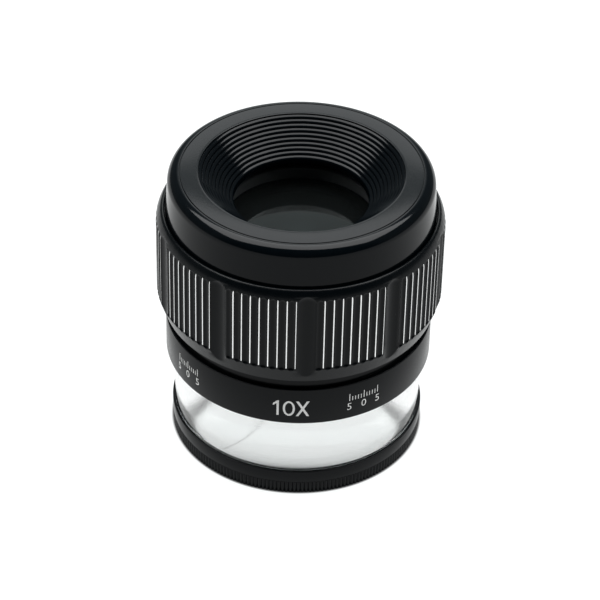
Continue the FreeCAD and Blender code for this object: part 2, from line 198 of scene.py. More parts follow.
def noise(tree, scale, detail=2.0, stretch=(1, 1, 1)):
    """Noise in the object's own space, with its scale in features a metre."""
    place = tree.nodes.new("ShaderNodeTexCoord")
    mapping = tree.nodes.new("ShaderNodeMapping")
    mapping.inputs["Scale"].default_value = stretch
    texture = tree.nodes.new("ShaderNodeTexNoise")
    texture.inputs["Scale"].default_value = scale
    texture.inputs["Detail"].default_value = detail
    tree.links.new(place.outputs["Object"], mapping.inputs["Vector"])
    tree.links.new(mapping.outputs["Vector"], texture.inputs["Vector"])
    return texture.outputs["Fac"]


def ramped(tree, value, low, high):
    """Maps a value from 0..1 to low..high, whether those are numbers or colours."""
    ramp = tree.nodes.new("ShaderNodeMapRange")
    if isinstance(low, tuple):
        ramp.data_type = "FLOAT_VECTOR"
        ramp.inputs[VECTOR_TO_MIN].default_value = low[:3]
        ramp.inputs[VECTOR_TO_MAX].default_value = high[:3]
        spread = tree.nodes.new("ShaderNodeCombineXYZ")
        for axis in range(3):
            tree.links.new(value, spread.inputs[axis])
        tree.links.new(spread.outputs["Vector"], ramp.inputs["Vector"])
        return ramp.outputs["Vector"]
    ramp.inputs["To Min"].default_value = low
    ramp.inputs["To Max"].default_value = high
    tree.links.new(value, ramp.inputs["Value"])
    return ramp.outputs["Result"]


def bumped(tree, shader, value, distance):
    """Raises the surface by up to a distance in metres where a value is high."""
    bump = tree.nodes.new("ShaderNodeBump")
    bump.inputs["Distance"].default_value = distance
    tree.links.new(value, bump.inputs["Height"])
    tree.links.new(bump.outputs["Normal"], shader.inputs["Normal"])


def black_anodised():
    """Satin black anodising over a finely turned surface."""
    material, tree, shader = new_material("black_anodised", IOR=1.28)
    tree.links.new(ramped(tree, noise(tree, 900), colour(0.0009, 0.0020, 0.0029),
                          colour(0.0022, 0.0036, 0.0048)), shader.inputs["Base Color"])
    tree.links.new(ramped(tree, noise(tree, 2500, 4), 0.20, 0.30), shader.inputs["Roughness"])
    bumped(tree, shader, noise(tree, 1500, 3, stretch=(1, 1, 12)), 0.000004)
    return material


def satin_black():
    """Satin black for the ring that holds the eye lens, made paler than the anodising as a painted
    highlight that shows the ring bright round the lens.
    """
    material, tree, shader = new_material("satin_black", IOR=1.45)
    tree.links.new(ramped(tree, noise(tree, 900), colour(0.13, 0.14, 0.145),
                          colour(0.16, 0.17, 0.175)), shader.inputs["Base Color"])
    tree.links.new(ramped(tree, noise(tree, 2500, 4), 0.25, 0.35), shader.inputs["Roughness"])
    bumped(tree, shader, noise(tree, 1500, 3, stretch=(1, 1, 12)), 0.000003)
    return material


def eyecup_plastic():
    """Smooth black moulded plastic with a faint grain."""
    material, tree, shader = new_material("eyecup_plastic", IOR=1.28)
    tree.links.new(ramped(tree, noise(tree, 700), colour(0.0008, 0.0019, 0.0029),
                          colour(0.0020, 0.0034, 0.0047)), shader.inputs["Base Color"])
    tree.links.new(ramped(tree, noise(tree, 3000, 4), 0.08, 0.13), shader.inputs["Roughness"])
    bumped(tree, shader, noise(tree, 2600, 3), 0.000002)
    return material


def bright_aluminium():
    """Bare aluminium where the black was skimmed off the crests."""
    material, tree, shader = new_material("bright_aluminium", Metallic=1.0)
    tree.links.new(ramped(tree, noise(tree, 1400), colour(0.72, 0.72, 0.70),
                          colour(0.95, 0.95, 0.96)), shader.inputs["Base Color"])
    tree.links.new(ramped(tree, noise(tree, 5000, 4), 0.25, 0.50), shader.inputs["Roughness"])
    bumped(tree, shader, noise(tree, 6000, 3, stretch=(1, 1, 0.2)), 0.000006)
    return material


def clear_acrylic():
    """Clear acrylic with the faint haze of handling."""
    material, tree, shader = new_material(
        "clear_acrylic", IOR=1.49, Transmission_Weight=1.0, Base_Color=colour(0.995, 1.0, 1.0))
    tree.links.new(ramped(tree, noise(tree, 1200, 3), 0.09, 0.13), shader.inputs["Roughness"])
    return material


def scale_plate_glass():
    """Plain plate glass, a little green in places."""
    material, tree, shader = new_material("scale_glass", IOR=1.52, Transmission_Weight=1.0, Roughness=0.0)
    tint = ramped(tree, noise(tree, 250), colour(0.97, 0.99, 0.98), colour(1.0, 1.0, 1.0))
    tree.links.new(tint, shader.inputs["Base Color"])
    return material


def coated_glass():
    """Smoky optical glass whose coating leaves only a faint grey-green reflection."""
    material, tree, shader = new_material("coated_glass", IOR=1.62, Transmission_Weight=0.82,
                                          Roughness=0.0, Specular_Tint=colour(0.24, 0.28, 0.28))
    tint = ramped(tree, noise(tree, 300), colour(0.27, 0.30, 0.30), colour(0.31, 0.34, 0.34))
    tree.links.new(tint, shader.inputs["Base Color"])
    return material


def printed_ink(name, low, high):
    """A matt printed ink whose colour varies a little between low and high."""
    material, tree, shader = new_material(name, Roughness=0.6)
    tree.links.new(ramped(tree, noise(tree, 5000, 4), low, high), shader.inputs["Base Color"])
    bumped(tree, shader, noise(tree, 9000, 2), 0.000004)
    return material


def moulded(name, low, high, roughness):
    """A plain moulded or pressed material in a mottled colour."""
    material, tree, shader = new_material(name, Roughness=roughness)
    tree.links.new(ramped(tree, noise(tree, 1500, 3), low, high), shader.inputs["Base Color"])
    bumped(tree, shader, noise(tree, 3500, 3), 0.000005)
    return material


def blued_steel():
    """Dark blued steel for the screws."""
    material, tree, shader = new_material("blued_steel", Metallic=1.0)
    tree.links.new(ramped(tree, noise(tree, 1800, 3), colour(0.03, 0.03, 0.035),
                          colour(0.06, 0.06, 0.07)), shader.inputs["Base Color"])
    tree.links.new(ramped(tree, noise(tree, 5000, 3), 0.3, 0.5), shader.inputs["Roughness"])
    return material


anodised = black_anodised()
plastic = eyecup_plastic()
aluminium = bright_aluminium()
acrylic = clear_acrylic()
scale_glass = scale_plate_glass()
lens_glass = coated_glass()
# The eye ring's paler black is a painted highlight
satin = satin_black()
white_ink = printed_ink("white_ink", colour(0.70, 0.70, 0.69), colour(0.88, 0.88, 0.87))
black_ink = printed_ink("black_ink", colour(0.010, 0.010, 0.012), colour(0.03, 0.03, 0.035))
nylon = moulded("nylon", colour(0.68, 0.67, 0.62), colour(0.80, 0.79, 0.74), 0.45)
fibre = moulded("fibre", colour(0.06, 0.05, 0.045), colour(0.12, 0.10, 0.09), 0.8)
steel = blued_steel()


# ---- CAD pieces that stay, with their materials -------------------------------------------------------

KEPT_NODES = {
    "reticle_washer": fibre,
    "stop_screw": steel,
    "damping_ring": nylon,
    "focus_sleeve": anodised,
    "grip_screws": steel,
    "lens_cell": anodised,
    "cell_lock_ring": aluminium,
    "lens_spacer": anodised,
    "field_lens_ring": anodised,
}


def finish_kept_nodes():
    """Gives each CAD piece that stays its own material."""
    for name, material in KEPT_NODES.items():
        mesh = frame["nodes"][name].data
        mesh.materials.clear()
        mesh.materials.append(material)


# ---- Eyecup ------------------------------------------------------------------------------------------

BROW = (23.0, 51.1)               # the round edge starts here on the wall
RIM = (20.98, 53.13)              # and ends here, beside the turned line
ROUND_EDGE = 2.06
LINE_SIDE = 0.03                  # the turned line starts this far in from the rim
LINE_WIDTH = 0.14
LINE_DEPTH = 0.16
CREST = 53.25                     # the top of the lip round the mouth
TOP_CURVE = 90.0
MOUTH = (17.6, 53.05)
LIP_WIDTH = 0.14
LIP_ROUND = 0.15
THROAT = (11.65, 47.5)
THROAT_FOOT = 46.75
HUB_BORE = 16.03                  # the hub fits over the lens cell
HUB_RADIUS = 18.0
HUB_TOP = 48.4
SHELL_BORE = 21.6
SHELL_TOP = 50.4
SHELL_IN_GRIP = 0.85              # the shell reaches this far below the grip's top
RIDGES = 10
# One ridge, as shares of its step inward and of its step down: a groove, a tread and a steep face
RIDGE_SHAPE = ((0.0, 0.0), (0.03, 0.16), (0.08, 0.17), (0.12, 0.08), (0.18, 0.055), (0.30, 0.10),
               (0.46, 0.18), (0.62, 0.27), (0.76, 0.38), (0.86, 0.51), (0.93, 0.66), (0.975, 0.83))


def ridge_points():
    """The cone from the mouth down to the throat, in ridges like small worn steps."""
    step_in = (MOUTH[0] - THROAT[0]) / RIDGES
    step_down = (MOUTH[1] - THROAT[1]) / RIDGES
    points = [(MOUTH[0] - step_in * (number + inward), MOUTH[1] - step_down * (number + down))
              for number in range(RIDGES) for inward, down in RIDGE_SHAPE]
    return points + [THROAT]


def make_eyecup():
    """The moulded eyecup: a round-edged wall, a fine turned line round its brow, and the ridged cone."""
    bottom = node_bottom("eyecup")
    rest = node_top("grip_ring") - SHELL_IN_GRIP
    wall = node_radius("eyecup")
    rim_radius, rim_height = RIM
    line_outer = rim_radius - LINE_SIDE
    line_inner = line_outer - LINE_WIDTH
    lip = (MOUTH[0] + LIP_WIDTH, CREST)
    outline = [(SHELL_BORE, rest), (wall - 0.08, rest), (wall, rest + 0.08)]
    outline += arc(BROW, RIM, ROUND_EDGE, steps=24)
    outline += [(line_outer, rim_height - LINE_DEPTH), (line_inner, rim_height - LINE_DEPTH)]
    outline += arc((line_inner - 0.04, rim_height + 0.01), lip, TOP_CURVE, steps=8)
    outline += arc(lip, (MOUTH[0], MOUTH[1] + 0.07), LIP_ROUND, steps=4)[1:]
    outline += ridge_points()
    outline += [(THROAT[0], THROAT_FOOT), (HUB_BORE, THROAT_FOOT), (HUB_BORE, bottom)]
    outline += [(HUB_RADIUS, bottom), (HUB_RADIUS, HUB_TOP), (SHELL_BORE, SHELL_TOP)]
    piece = lathe("eyecup_shell", outline, "focus", plastic, FINE_SEGMENTS)
    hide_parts("eyecup")


# ---- Eye lens and its ring ---------------------------------------------------------------------------

LENS_RADIUS = 14.2
INNER_CURVE = 34.0
EYE_CURVE = 120.0
RING_BORE = 12.9
RING_SEAT_BORE = 13.2


def crown_face(crest, rise):
    """The strongly curved face that each doublet turns to the other, from its edge to the axis."""
    return face_arc(INNER_CURVE, LENS_RADIUS, crest, rise)


def make_doublets():
    """Each cemented pair is one body of glass, because no light is turned back at the cement."""
    eye_crest = node_top("eye_flint_lens")
    outline = crown_face(node_bottom("eye_crown_lens"), -1)[::-1]
    outline += face_arc(EYE_CURVE, LENS_RADIUS, eye_crest, 1)
    eye = lathe("eye_doublet", outline, "focus", lens_glass, SMALL_SEGMENTS)
    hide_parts("eye_flint_lens", "eye_crown_lens")
    flat = node_bottom("field_flint_lens")
    outline = [(0, flat), (LENS_RADIUS, flat)] + crown_face(node_top("field_crown_lens"), 1)
    field = lathe("field_doublet", outline, "focus", lens_glass, SMALL_SEGMENTS)
    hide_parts("field_flint_lens", "field_crown_lens")


def make_eye_ring():
    """The retaining ring above the eye lens, with its rounded inner edge."""
    bottom = node_bottom("eye_lens_ring")
    top = node_top("eye_lens_ring")
    outer = node_radius("eye_lens_ring")
    outline = rounded([(RING_SEAT_BORE, bottom, 0.05), (outer, bottom, 0.05), (outer, top, 0.12),
                       (RING_BORE, top, 0.22)])
    piece = lathe("eye_ring", outline, "focus", satin, SMALL_SEGMENTS)
    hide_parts("eye_lens_ring")


# ---- Grip ring ---------------------------------------------------------------------------------------

GROOVES = 100                     # places round the grip; the flutes take two in every ten
FLUTES = 10
GROOVE_PITCH = 2 * math.pi / GROOVES
FLUTE_PITCH = 2 * math.pi / FLUTES
GROOVES_A_PANEL = GROOVES // FLUTES - 2
GRIP_RADIUS = 25.0
FLUTE_TURN = math.radians(3.35)
CREST_TURN = math.radians(-0.7)
LEAST_TURN = math.radians(0.08)   # the columns of a cut stay this far apart beyond its ends
FLUTE = {"cutter": 2.75, "depth": 0.6, "bottom": 25.7, "top": 46.5}
GROOVE = {"cutter": 0.85, "depth": 0.33, "bottom": 29.3, "top": 44.6}
SKIM = 0.012                      # the bright crests stand this proud of the black
BEVEL_FOOT = (23.95, 26.5)
BEVEL_TOP = 29.6
GROOVE_ENDS = 30.6                # the round lower ends of the grooves lie below this
SHOULDER = 43.2
SHOULDER_CURVE = 4.3
SHOULDER_TOP = 45.68
GRIP_TOP = 45.85
GRIP_BORE = 22.95
GRIP_WEB = (43.3, 45.0)           # the web that the screws go through, from its bottom to its top
WEB_BORE = 19.9
EYECUP_WELL = 23.5
CREST_LINE = (29.95, 44.15)       # the bright strips run between these heights
CREST_LINE_HALF = 0.105
SHAVED_LINE_HALF = 0.065
CREST_LINE_END = 0.12             # the strips narrow over this length at their ends
CREST_LINE_DEPTH = 0.04
FAR_OUT = 1e3


def grip_outside(height):
    """The grip's radius at a height, before its flutes and grooves are cut."""
    if height < BEVEL_TOP:
        share = (height - BEVEL_FOOT[1]) / (BEVEL_TOP - BEVEL_FOOT[1])
        return BEVEL_FOOT[0] + (GRIP_RADIUS - BEVEL_FOOT[0]) * share
    rise = max(0.0, height - SHOULDER)
    return GRIP_RADIUS - SHOULDER_CURVE + math.sqrt(SHOULDER_CURVE ** 2 - rise ** 2)


def cutter_radius(cut, height):
    """The radius of a round-ended upright cutter at a height, or zero beyond its ends."""
    middle = min(max(height, cut["bottom"] + cut["cutter"]), cut["top"] - cut["cutter"])
    return math.sqrt(max(0.0, cut["cutter"] ** 2 - (height - middle) ** 2))


def cut_surface(cut, height, angles):
    """The distance from the axis at which a cutter's hollow lies, at angles from its own middle."""
    standoff = GRIP_RADIUS + cut["cutter"] - cut["depth"]
    radius = cutter_radius(cut, height)
    reach = radius ** 2 - (standoff * np.sin(angles)) ** 2
    hollow = standoff * np.cos(angles) - np.sqrt(np.maximum(reach, 0))
    return np.where(reach > 0, hollow, FAR_OUT)


def half_width(cut, height):
    """Half the angle over which a cutter breaks the grip's outside at a height."""
    standoff = GRIP_RADIUS + cut["cutter"] - cut["depth"]
    outside = grip_outside(height)
    radius = cutter_radius(cut, height)
    cosine = (outside ** 2 + standoff ** 2 - radius ** 2) / (2 * outside * standoff)
    return math.acos(min(1.0, cosine))


def grip_rows():
    """Heights up the grip's outside, closer together where flutes and grooves end."""
    bevel = np.linspace(BEVEL_FOOT[1], BEVEL_TOP, 14)
    foot = np.linspace(BEVEL_TOP, GROOVE_ENDS, 9)[1:]
    straight = np.linspace(GROOVE_ENDS, SHOULDER, 8)[1:]
    shoulder = np.linspace(SHOULDER, SHOULDER_TOP, 22)[1:]
    return np.concatenate([bevel, foot, straight, shoulder])


def grip_columns(height):
    """Angles round the grip at a height, which follow the edges of its flutes and grooves."""
    across = np.linspace(-1, 1, 9)
    flute_across = np.linspace(-1, 1, 17)
    groove_half = max(half_width(GROOVE, height), LEAST_TURN)
    flute_half = max(half_width(FLUTE, height), LEAST_TURN * 4)
    angles = []
    for flute in range(FLUTES):
        turn = flute * FLUTE_PITCH
        angles.append(FLUTE_TURN + turn + flute_across * flute_half)
        for number in range(GROOVES_A_PANEL, 0, -1):
            middle = CREST_TURN + turn + FLUTE_PITCH - GROOVE_PITCH * (number - 0.5)
            edges = middle + across * groove_half
            angles.append(np.maximum(edges, FLUTE_TURN + turn + flute_half * 1.002))
    return np.concatenate(angles)


def grip_ring_points(height):
    """The grip's outside at a height, with its flutes and grooves cut in."""
    angles = grip_columns(height)
    radii = np.full(angles.shape, grip_outside(height) - SKIM)
    from_flute = (angles - FLUTE_TURN + FLUTE_PITCH / 2) % FLUTE_PITCH - FLUTE_PITCH / 2
    from_groove = (angles - CREST_TURN) % GROOVE_PITCH - GROOVE_PITCH / 2
    radii = np.minimum(radii, cut_surface(FLUTE, height, from_flute))
    radii = np.minimum(radii, cut_surface(GROOVE, height, from_groove))
    return polar_ring(angles, radii, height)


def make_grip():
    """The grip ring: its cut outside, the well that the eyecup stands in, the web and the bore."""
    heights = grip_rows()
    rings = [grip_ring_points(height) for height in heights]
    angles = grip_columns(heights[-1])
    lower_angles = grip_columns(heights[0])
    web_bottom, web_top = GRIP_WEB
    crown = rounded([(24.2, SHOULDER_TOP, 0), (23.95, GRIP_TOP, 0.08), (23.68, GRIP_TOP, 0.05),
                     (EYECUP_WELL, 45.67, 0.05), (EYECUP_WELL, web_top, 0), (WEB_BORE, web_top, 0)],
                    steps=3)[1:]
    inside = [(WEB_BORE, web_bottom), (GRIP_BORE, web_bottom)]
    rings += [polar_ring(angles, radius, height) for radius, height in crown + inside]
    rings.append(polar_ring(lower_angles, GRIP_BORE, BEVEL_FOOT[1]))
    piece = skin("grip", rings, "focus", anodised)
    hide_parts("grip_ring")


def crest_strip(middle, shift, half):
    """The corners of one bright strip, four at each height, at an angle and with half its width."""
    bottom, top = CREST_LINE
    heights = np.concatenate([np.linspace(bottom, bottom + 0.2, 4), np.linspace(31, 43, 6),
                              np.linspace(SHOULDER, top, 6)])
    corners = []
    for height in heights:
        from_end = min(height - bottom, top - height)
        end = math.sqrt(min(1.0, from_end / CREST_LINE_END + 0.15))
        outside = grip_outside(height)
        for side, lift in ((-1, -CREST_LINE_DEPTH), (-1, 0.0), (1, 0.0), (1, -CREST_LINE_DEPTH)):
            angle = middle + (shift + side * half * end) / GRIP_RADIUS
            radius = outside + lift
            corners.append((radius * math.sin(angle), -radius * math.cos(angle), height))
    return corners


def strip_faces(first, corner_count):
    """The faces round and at both ends of a strip whose corners start at a place in the list."""
    faces = []
    last = first + corner_count - 4
    for low in range(first, last, 4):
        for corner in range(4):
            following = (corner + 1) % 4
            faces.append((low + corner, low + following, low + 4 + following, low + 4 + corner))
    faces.append((first, first + 3, first + 2, first + 1))
    faces.append((last, last + 1, last + 2, last + 3))
    return faces


def make_crest_lines():
    """Thin bright strips on the crests between the grooves, each of a slightly different width."""
    chance = random.Random(GRIP_SEED)
    vertices = []
    faces = []
    for flute in range(FLUTES):
        for number in range(GROOVES_A_PANEL):
            middle = CREST_TURN - GROOVE_PITCH * number + flute * FLUTE_PITCH
            beside_flute = number == 0
            half = (SHAVED_LINE_HALF if beside_flute else CREST_LINE_HALF) * chance.uniform(0.88, 1.1)
            shift = -0.05 if beside_flute else chance.uniform(-0.012, 0.012)
            corners = crest_strip(middle, shift, half)
            faces += strip_faces(len(vertices), len(corners))
            vertices += corners
    mesh = bpy.data.meshes.new("grip_crest_lines")
    mesh.from_pydata([tuple(c * MM for c in vertex) for vertex in vertices], [], faces)
    piece = finished("grip_crest_lines", mesh, "focus", aluminium)


# ---- Body collar and its printing --------------------------------------------------------------------

BAND_RADIUS = 23.45
BAND_TOP = 24.1
NECK_RADIUS = 22.6
NECK_BORE = 20.55
NECK_BORE_FOOT = 20.53
SPIGOT_BORE = 21.23
INK = 0.02


def make_collar():
    """The black band above the skirt and the neck that the grip turns round."""
    bottom = node_bottom("body_collar")
    top = node_top("body_collar")
    outline = rounded([
        (SPIGOT_BORE, bottom, 0.05), (BAND_RADIUS, bottom, 0.15), (BAND_RADIUS, BAND_TOP, 0.18),
        (NECK_RADIUS, BAND_TOP, 0.1), (NECK_RADIUS, top, 0.1), (NECK_BORE, top, 0.1),
        (NECK_BORE, NECK_BORE_FOOT, 0), (SPIGOT_BORE, NECK_BORE_FOOT, 0)])
    piece = lathe("collar", outline, "stand", anodised, FINE_SEGMENTS)
    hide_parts("body_collar")


CAP_SHARE = 0.72                  # a capital's height as a share of the font's size


def flat_text(words, height):
    """A mesh of figures laid out as a label: x across, y up, z out, in millimetres."""
    curve = bpy.data.curves.new("figures", "FONT")
    curve.body = words
    curve.align_x = "CENTER"
    curve.align_y = "CENTER"
    curve.size = height / CAP_SHARE
    curve.extrude = INK
    curve.resolution_u = 6
    text = bpy.data.objects.new("figures", curve)
    bpy.context.scene.collection.objects.link(text)
    bpy.context.view_layer.update()
    mesh = bpy.data.meshes.new_from_object(text.evaluated_get(bpy.context.evaluated_depsgraph_get()))
    bpy.data.objects.remove(text)
    bpy.data.curves.remove(curve)
    return mesh


def slab(outline):
    """A flat mesh, as thick as the print, from the corners of its outline."""
    mesh = bpy.data.meshes.new("slab")
    work = bmesh.new()
    low = [work.verts.new((x, y, -INK)) for x, y in outline]
    high = [work.verts.new((x, y, INK)) for x, y in outline]
    work.faces.new(high)
    work.faces.new(low[::-1])
    for number in range(len(outline)):
        following = (number + 1) % len(outline)
        work.faces.new((low[number], low[following], high[following], high[number]))
    work.to_mesh(mesh)
    work.free()
    return mesh


def figure_one(height, stroke):
    """A one with a slanting flag and no foot."""
    top, flag = height / 2, 0.23 * height
    return slab([(-stroke / 2, -top), (stroke / 2, -top), (stroke / 2, top), (-0.25 * stroke, top),
                 (-flag - 0.1, top - flag), (-flag - 0.1, top - flag - stroke), (-stroke / 2, top - 0.62)])


def figure_zero(height, width, stroke, segments=40):
    """An upright oval ring."""
    mesh = bpy.data.meshes.new("zero")
    work = bmesh.new()
    rings = []
    for shrink, level in ((0, INK), (stroke, INK), (stroke, -INK), (0, -INK)):
        across, up = width / 2 - shrink, height / 2 - shrink
        turns = [2 * math.pi * number / segments for number in range(segments)]
        rings.append([work.verts.new((across * math.cos(turn), up * math.sin(turn), level))
                      for turn in turns])
    for ring in range(4):
        near, far = rings[ring], rings[(ring + 1) % 4]
        for number in range(segments):
            following = (number + 1) % segments
            work.faces.new((near[number], near[following], far[following], far[number]))
    work.to_mesh(mesh)
    work.free()
    return mesh


def times_sign(height, width, stroke):
    """A cross of two slanting strokes, whose width is measured level."""
    top, side = height / 2, width / 2
    waist = top * stroke / (width - stroke)
    quarter = [(-side, top), (-side + stroke, top), (0, waist), (side - stroke, top), (side, top),
               (stroke / 2, 0)]
    return slab(quarter + [(-x, -y) for x, y in quarter])


def flat_bars(bars):
    """A mesh of upright ticks: each bar is its middle across, its foot, its width and its height."""
    mesh = bpy.data.meshes.new("bars")
    work = bmesh.new()
    for middle, foot, width, height in bars:
        box = bmesh.ops.create_cube(work, size=1.0)
        size = Matrix.Diagonal((width, height, 2 * INK, 1))
        place = Matrix.Translation((middle, foot + height / 2, 0)) @ size
        bmesh.ops.transform(work, matrix=place, verts=box["verts"])
    work.to_mesh(mesh)
    work.free()
    return mesh


def sliced(mesh, step=0.25):
    """Cuts a flat label into narrow upright strips, so that it can bend round the band."""
    work = bmesh.new()
    work.from_mesh(mesh)
    bmesh.ops.remove_doubles(work, verts=work.verts, dist=1e-5)
    across = [vertex.co.x for vertex in work.verts]
    cut = math.ceil(min(across) / step) * step
    while cut < max(across):
        parts = work.verts[:] + work.edges[:] + work.faces[:]
        bmesh.ops.bisect_plane(work, geom=parts, plane_co=(cut, 0, 0), plane_no=(1, 0, 0))
        cut += step
    work.to_mesh(mesh)
    work.free()
    return mesh


def wrapped_label(name, meshes, turn, height):
    """Bends flat labels round the band, with their middle at a turn from the front and at a height."""
    work = bmesh.new()
    for mesh in meshes:
        work.from_mesh(sliced(mesh))
        bpy.data.meshes.remove(mesh)
    for vertex in work.verts:
        angle = math.radians(turn) + vertex.co.x / BAND_RADIUS
        radius = BAND_RADIUS + vertex.co.z
        up = height + vertex.co.y
        vertex.co = Vector((radius * math.sin(angle), -radius * math.cos(angle), up)) * MM
    mesh = bpy.data.meshes.new(name)
    work.to_mesh(mesh)
    work.free()
    piece = finished(name, mesh, "stand", white_ink)


def tick_scale(half_count, spacing, short, long):
    """A row of ticks with a longer one at every fifth place."""
    return flat_bars([
        (number * spacing, 0, 0.16, long if number % 5 == 0 else short)
        for number in range(-half_count, half_count + 1)])


def shifted(mesh, across, up):
    """Moves a flat label, and hands it back."""
    mesh.transform(Matrix.Translation((across, up, 0)))
    return mesh


PRINT_HEIGHT = 20.0
FIGURE_HEIGHT = 3.25
FIGURE_STROKE = 0.41
TICK_SPACING = 0.55
BAND_SCALES = (("focus_scale_right", 29.6), ("focus_scale_left", -54.0))


def make_printing():
    """The power mark at the front of the band, and a tick scale on either side of it."""
    power = [shifted(figure_one(FIGURE_HEIGHT, FIGURE_STROKE), -2.25, 0),
             shifted(figure_zero(FIGURE_HEIGHT, 2.1, FIGURE_STROKE * 0.95), -0.32, 0),
             shifted(times_sign(FIGURE_HEIGHT, 2.35, FIGURE_STROKE * 1.2), 2.05, 0)]
    wrapped_label("power_mark", power, -2.3, PRINT_HEIGHT)
    for name, turn in BAND_SCALES:
        numbers = [shifted(flat_text(figure, 1.5), place * TICK_SPACING, -1.3)
                   for figure, place in (("5", -5), ("0", 0), ("5", 5))]
        ticks = tick_scale(5, TICK_SPACING, 0.9, 1.5)
        wrapped_label(name, numbers + [ticks], turn, PRINT_HEIGHT + 0.5)


# ---- Clear skirt -------------------------------------------------------------------------------------

SKIRT_BORE = 18.5
SKIRT_RADIUS = 22.0
FOOT_SPIGOT = (20.85, 4.77)       # the radius of the spigot in the base, and the height of its shoulder
HEAD_SPIGOT = (21.2, 16.7)        # the same for the spigot in the collar


def make_skirt():
    """The clear skirt, with a spigot at each end."""
    bottom = node_bottom("skirt")
    top = node_top("skirt")
    foot_radius, foot_shoulder = FOOT_SPIGOT
    head_radius, head_shoulder = HEAD_SPIGOT
    outline = rounded([
        (SKIRT_BORE, bottom, 0.08), (foot_radius, bottom, 0.08), (foot_radius, foot_shoulder, 0),
        (SKIRT_RADIUS, foot_shoulder, 0.10), (SKIRT_RADIUS, head_shoulder, 0.05),
        (head_radius, head_shoulder, 0), (head_radius, top, 0.08), (SKIRT_BORE, top, 0.08)])
    piece = lathe("clear_skirt", outline, "stand", acrylic, FINE_SEGMENTS)
    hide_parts("skirt")


# ---- Base ring and scale glass -----------------------------------------------------------------------

KNURLS = 200
COLUMNS_PER_KNURL = 6
KNURL_TOP = 2.3
KNURL_DEPTH = 0.22
BASE_BORE = 20.9                  # the skirt's spigot goes in here
SEAT = 2.9                        # the height of the step round the glass
GLASS_WELL = 19.6
LEDGE = 1.2                       # the scale glass rests on a ledge of this height
WINDOW = 17.0


def make_base_ring():
    """The base ring: fine upright knurls on its lower half, and a well for the scale glass inside."""
    outer = node_radius("base_ring")
    top = node_top("base_ring")
    columns = KNURLS * COLUMNS_PER_KNURL
    angles = np.arange(columns) * 2 * math.pi / columns
    notch = KNURL_DEPTH * (0.5 - 0.5 * np.cos(KNURLS * angles)) ** 1.5
    rings = []
    for height, sink, depth in ((0.0, 0.03, 0.95), (0.04, 0.0, 1.0), (1.1, 0.0, 1.0),
                                (KNURL_TOP - 0.12, 0.0, 1.0), (KNURL_TOP, 0.02, 0.85)):
        rings.append(polar_ring(angles, outer - sink - notch * depth, height))
    smooth = rounded([
        (outer - 0.14, KNURL_TOP + 0.02, 0), (outer, KNURL_TOP + 0.10, 0.06), (outer, top, 0.15),
        (BASE_BORE, top, 0.08), (BASE_BORE, SEAT, 0), (GLASS_WELL, SEAT, 0), (GLASS_WELL, LEDGE, 0),
        (WINDOW, LEDGE, 0.1), (WINDOW, 0.0, 0.15)], steps=3)
    rings += [polar_ring(angles, radius, height) for radius, height in smooth]
    piece = skin("knurled_base", rings, "base", anodised)
    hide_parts("base_ring")


def make_scale_glass():
    """The stepped disc of plate glass in the base."""
    top = node_top("reticle_glass")
    bottom = node_bottom("reticle_glass")
    outer = node_radius("reticle_glass")
    step = WINDOW - 0.05
    outline = rounded([
        (0, bottom, 0), (step, bottom, 0.1), (step, LEDGE, 0), (outer, LEDGE, 0.05), (outer, top, 0.1),
        (0, top, 0)])
    piece = lathe("scale_disc", outline, "base", scale_glass, SMALL_SEGMENTS)
    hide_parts("reticle_glass")


SCALE_TURN = math.radians(41)
SCALE_LENGTH = 31.0
SCALE_LINE = 0.08
SCALE_REACH = 100                 # tenths of a millimetre to each side
FINE_REACH = 50
SCALE_DROP = 0.03                 # the ink lies this far under the glass


def scale_bars():
    """The scale's line and its ticks: whole millimetres all along, and tenths in the middle."""
    bars = [(0, -SCALE_LINE / 2, SCALE_LENGTH, SCALE_LINE)]
    for tenth in range(-SCALE_REACH, SCALE_REACH + 1):
        if tenth % 10 == 0:
            bars.append((tenth / 10, 0.03, 0.03, 1.2))
        elif abs(tenth) <= FINE_REACH:
            bars.append((tenth / 10, 0.03, 0.03, 0.8 if tenth % 5 == 0 else 0.5))
    return bars


def make_scale():
    """The measuring scale under the glass: a millimetre line across it, with a finer stretch."""
    height = node_bottom("reticle_glass") - SCALE_DROP
    turn = Matrix.Rotation(SCALE_TURN, 4, "Z")
    parts = [flat_bars(scale_bars())]
    parts += [shifted(flat_text(str(abs(number)), 1.0), number, 2.0) for number in (-5, 0, 5)]
    work = bmesh.new()
    for mesh in parts:
        work.from_mesh(mesh)
        bpy.data.meshes.remove(mesh)
    for vertex in work.verts:
        x, y, z = vertex.co
        vertex.co = turn @ Vector((x, y, height + z / 2)) * MM
    mesh = bpy.data.meshes.new("measuring_scale")
    work.to_mesh(mesh)
    work.free()
    piece = finished("measuring_scale", mesh, "base", black_ink)


# ---- Stage: floor, light and camera --------------------------------------------------------------------

FLOOR_HALF = 3.0
FLOOR_GAP = 0.00005               # the floor lies this far under the object, in metres
FLOOR_GLOW = 0.93
# The dim glow left in the painted contact shadow round the foot of the base
PAINTED_SHADOW_GLOW = 0.05


def smooth_step(tree, value, start, end, low, high):
    """Goes smoothly from low to high as a value goes from start to end."""
    ramp = tree.nodes.new("ShaderNodeMapRange")
    ramp.interpolation_type = "SMOOTHSTEP"
    ramp.inputs["From Min"].default_value = start
    ramp.inputs["From Max"].default_value = end
    ramp.inputs["To Min"].default_value = low
    ramp.inputs["To Max"].default_value = high
    tree.links.new(value, ramp.inputs["Value"])
    return ramp.outputs["Result"]


def arithmetic(tree, operation, *values):
    """A Math node whose values are numbers or other nodes' outputs."""
    node = tree.nodes.new("ShaderNodeMath")
    node.operation = operation
    for socket, value in zip(node.inputs, values):
        if isinstance(value, (int, float)):
            socket.default_value = value
        else:
            tree.links.new(value, socket)
    return node.outputs[0]


